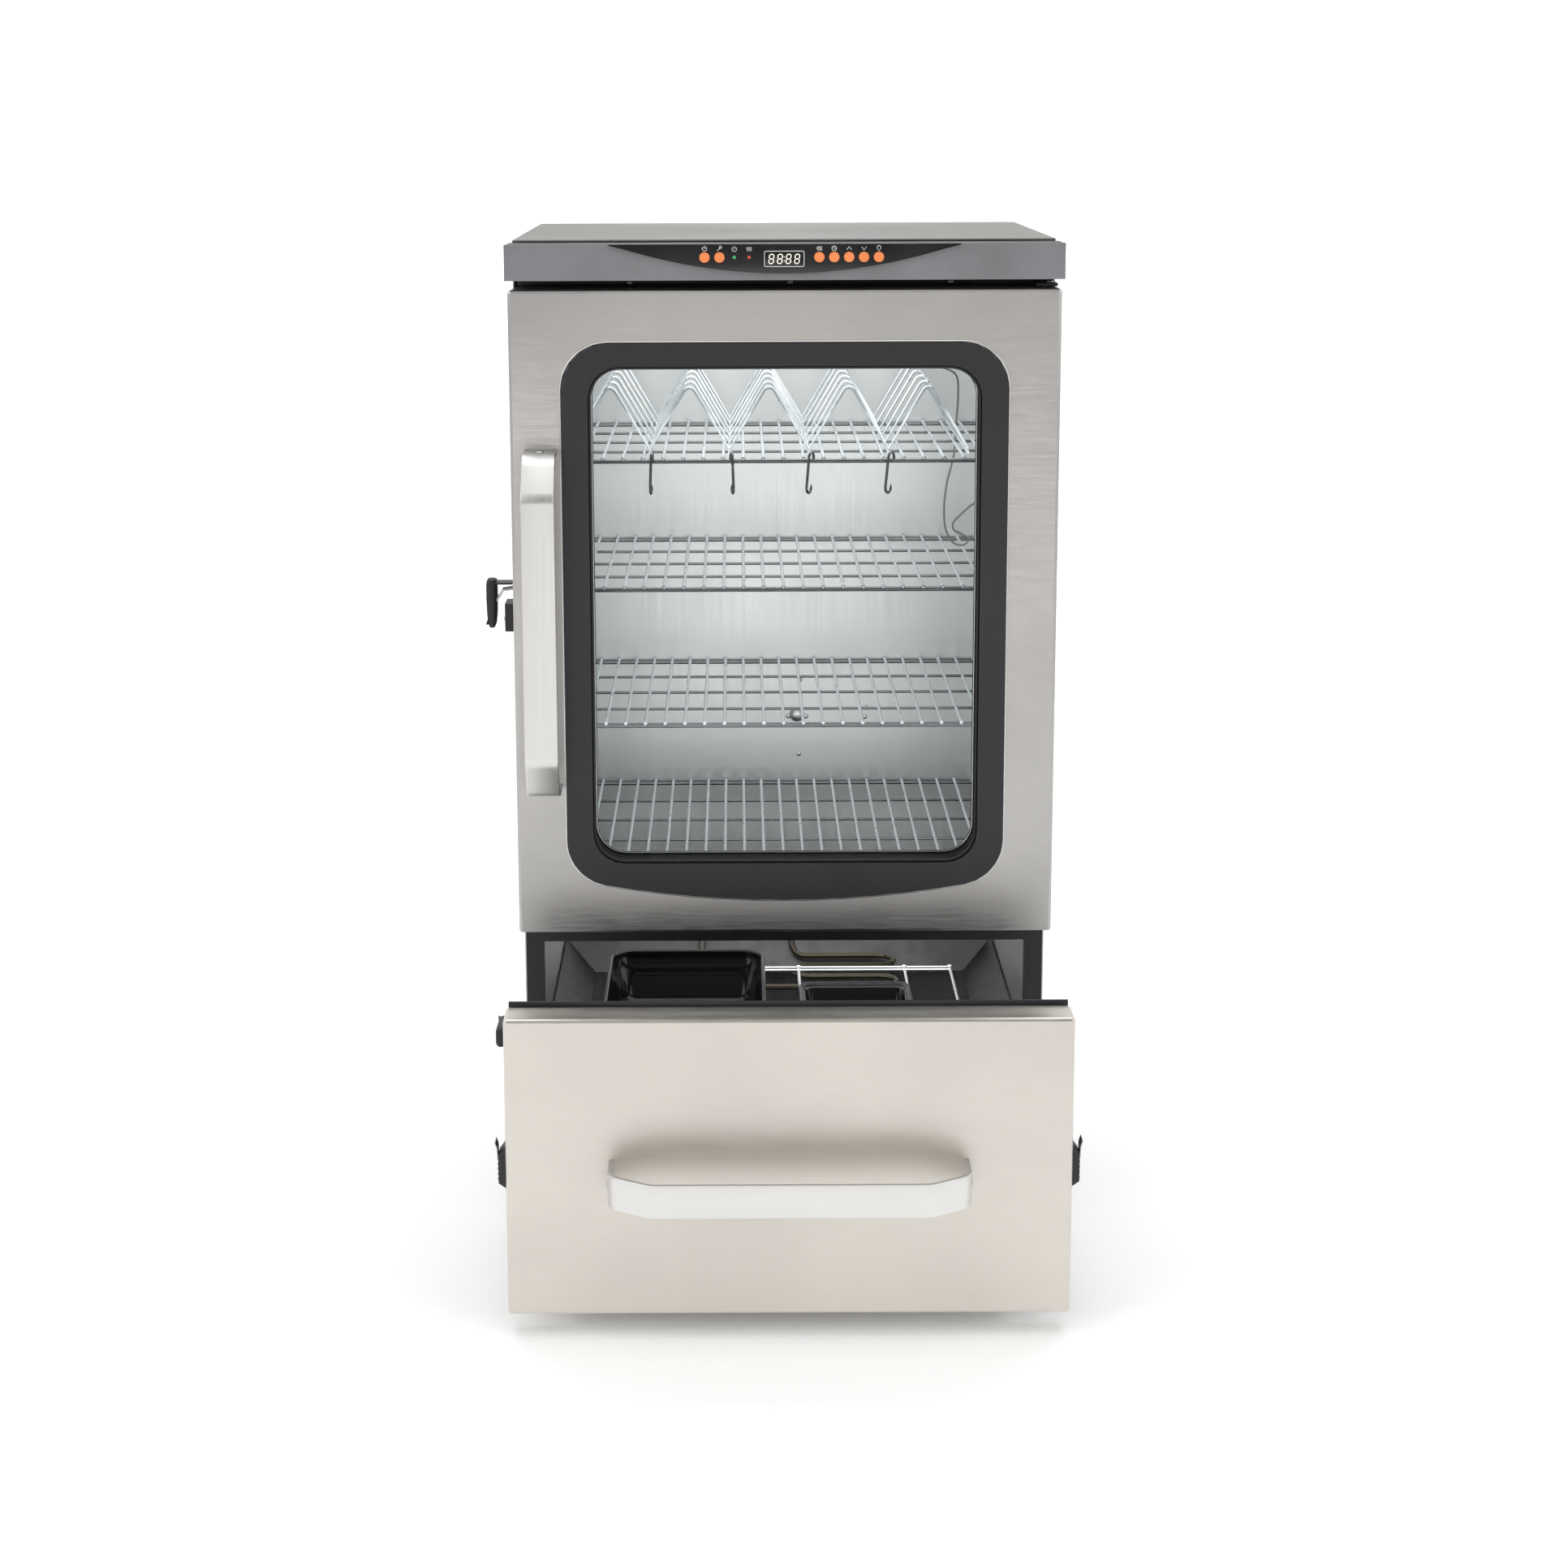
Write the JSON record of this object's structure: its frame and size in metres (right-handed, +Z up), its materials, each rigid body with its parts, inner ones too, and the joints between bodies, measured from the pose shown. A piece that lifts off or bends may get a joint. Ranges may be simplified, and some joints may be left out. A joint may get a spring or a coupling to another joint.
{
  "type": "electric cabinet smoker",
  "caption": "Upright electric smoker cabinet with a windowed hinged door, wire racks, a pull-out drawer with water pan and chip box, and a front control panel.",
  "frame": {"origin": "on the floor, midway between the drawer handle and the rear panel with the drawer drawn out 200 mm, and midway across the cabinet", "axes": "+Z up, +X to the right of someone facing the door, -Y towards them"},
  "size_m": [0.5958, 0.696, 1.023],
  "materials": {
    "stainless": "vertical brushed stainless",
    "grey_paint": "satin grey",
    "black_steel": "black powder coat",
    "charcoal": "satin charcoal",
    "galvanised": "dull galvanised sheet",
    "chrome": "plated wire",
    "enamel": "gloss black vitreous enamel",
    "gloss_black": "gloss black",
    "orange_button": "satin orange",
    "glass": "clear tempered",
    "seal": "woven heat seal",
    "circuit_board": "green circuit board",
    "element_sheath": "oxidised steel sheath",
    "braided_lead": "braided steel sleeve"
  },
  "bodies": {
    "cabinet": {"outer_wrap": "stainless", "top_panel": "stainless", "base_panel": "black_steel", "front_frame": "black_steel", "chamber_liner": "stainless", "chamber_ceiling": "stainless", "drip_hopper": "galvanised", "rack_rail_left": "chrome", "rack_rail_right": "chrome", "shelf_1": "chrome", "shelf_2": "chrome", "shelf_3": "chrome", "shelf_4": "chrome", "rib_rack": "chrome", "control_housing": "black_steel", "fascia": "grey_paint", "control_overlay": "gloss_black", "control_board": "circuit_board", "heating_element": "element_sheath", "hinge_bracket_top": "black_steel", "hinge_bracket_bottom": "black_steel", "door_latch_base": "black_steel", "drawer_latch_left_base": "black_steel", "drawer_latch_right_base": "black_steel", "drawer_rail_left": "galvanised", "drawer_rail_right": "galvanised", "power_inlet": "black_steel", "probe_jack": "chrome", "probe_lead": "braided_lead", "meat_probe": "chrome"},
    "door": {"door_skin": "stainless", "door_liner": "stainless", "window_trim": "charcoal", "outer_glass": "glass", "inner_glass": "glass", "door_gasket": "seal", "door_handle": "stainless"},
    "drawer": {"drawer_front": "stainless", "drawer_liner": "black_steel", "drawer_handle": "stainless", "pan_cradle": "chrome", "drip_tray": "galvanised", "drawer_strike_left": "black_steel", "drawer_strike_right": "black_steel"},
    "water_pan": {"water_pan": "enamel"},
    "chip_box": {"chip_box": "enamel"},
    "door_latch": {"door_latch_lever": "black_steel"},
    "drawer_latch_left": {"drawer_latch_left_lever": "black_steel"},
    "drawer_latch_right": {"drawer_latch_right_lever": "black_steel"},
    "button_1": {"button_1": "orange_button"},
    "button_2": {"button_2": "orange_button"},
    "button_3": {"button_3": "orange_button"},
    "button_4": {"button_4": "orange_button"},
    "button_5": {"button_5": "orange_button"},
    "button_6": {"button_6": "orange_button"},
    "button_7": {"button_7": "orange_button"},
    "meat_hook_1": {"meat_hook_1": "chrome"},
    "meat_hook_2": {"meat_hook_2": "chrome"},
    "meat_hook_3": {"meat_hook_3": "chrome"},
    "meat_hook_4": {"meat_hook_4": "chrome"}
  },
  "joints": [
    {"name": "door_hinge", "type": "hinge", "parent": "cabinet", "child": "door", "pos_m": [0.257, -0.056, 0.657], "axis": [0, 0, 1], "range_deg": [0, 115]},
    {"name": "drawer_slide", "type": "slide", "parent": "cabinet", "child": "drawer", "axis": [0, 1, 0], "range_m": [-0.1, 0.2]},
    {"name": "water_pan_lift", "type": "slide", "parent": "drawer", "child": "water_pan", "axis": [0, 0, 1], "range_m": [0, 0.03]},
    {"name": "chip_box_lift", "type": "slide", "parent": "drawer", "child": "chip_box", "axis": [0, 0, 1], "range_m": [0, 0.03]},
    {"name": "door_latch_turn", "type": "hinge", "parent": "cabinet", "child": "door_latch", "pos_m": [-0.28, -0.022, 0.677], "axis": [1, 0, 0], "range_deg": [0, 90]},
    {"name": "drawer_latch_left_turn", "type": "hinge", "parent": "cabinet", "child": "drawer_latch_left", "pos_m": [-0.28, -0.022, 0.207], "axis": [1, 0, 0], "range_deg": [-90, 0]},
    {"name": "drawer_latch_right_turn", "type": "hinge", "parent": "cabinet", "child": "drawer_latch_right", "pos_m": [0.28, -0.022, 0.207], "axis": [1, 0, 0], "range_deg": [0, 90]},
    {"name": "button_1_press", "type": "slide", "parent": "cabinet", "child": "button_1", "axis": [0, 1, 0], "range_m": [0, 0.001], "stiffness_N_per_m": 400},
    {"name": "button_2_press", "type": "slide", "parent": "cabinet", "child": "button_2", "axis": [0, 1, 0], "range_m": [0, 0.001], "stiffness_N_per_m": 400},
    {"name": "button_3_press", "type": "slide", "parent": "cabinet", "child": "button_3", "axis": [0, 1, 0], "range_m": [0, 0.001], "stiffness_N_per_m": 400},
    {"name": "button_4_press", "type": "slide", "parent": "cabinet", "child": "button_4", "axis": [0, 1, 0], "range_m": [0, 0.001], "stiffness_N_per_m": 400},
    {"name": "button_5_press", "type": "slide", "parent": "cabinet", "child": "button_5", "axis": [0, 1, 0], "range_m": [0, 0.001], "stiffness_N_per_m": 400},
    {"name": "button_6_press", "type": "slide", "parent": "cabinet", "child": "button_6", "axis": [0, 1, 0], "range_m": [0, 0.001], "stiffness_N_per_m": 400},
    {"name": "button_7_press", "type": "slide", "parent": "cabinet", "child": "button_7", "axis": [0, 1, 0], "range_m": [0, 0.001], "stiffness_N_per_m": 400},
    {"name": "meat_hook_1_swing", "type": "hinge", "parent": "cabinet", "child": "meat_hook_1", "pos_m": [-0.13125, -0.012, 0.805], "axis": [1, 0, 0], "range_deg": [-20, 20]},
    {"name": "meat_hook_2_swing", "type": "hinge", "parent": "cabinet", "child": "meat_hook_2", "pos_m": [-0.05175, -0.012, 0.805], "axis": [1, 0, 0], "range_deg": [-20, 20]},
    {"name": "meat_hook_3_swing", "type": "hinge", "parent": "cabinet", "child": "meat_hook_3", "pos_m": [0.02775, -0.012, 0.805], "axis": [1, 0, 0], "range_deg": [-20, 20]},
    {"name": "meat_hook_4_swing", "type": "hinge", "parent": "cabinet", "child": "meat_hook_4", "pos_m": [0.10725, -0.012, 0.805], "axis": [1, 0, 0], "range_deg": [-20, 20]}
  ]
}
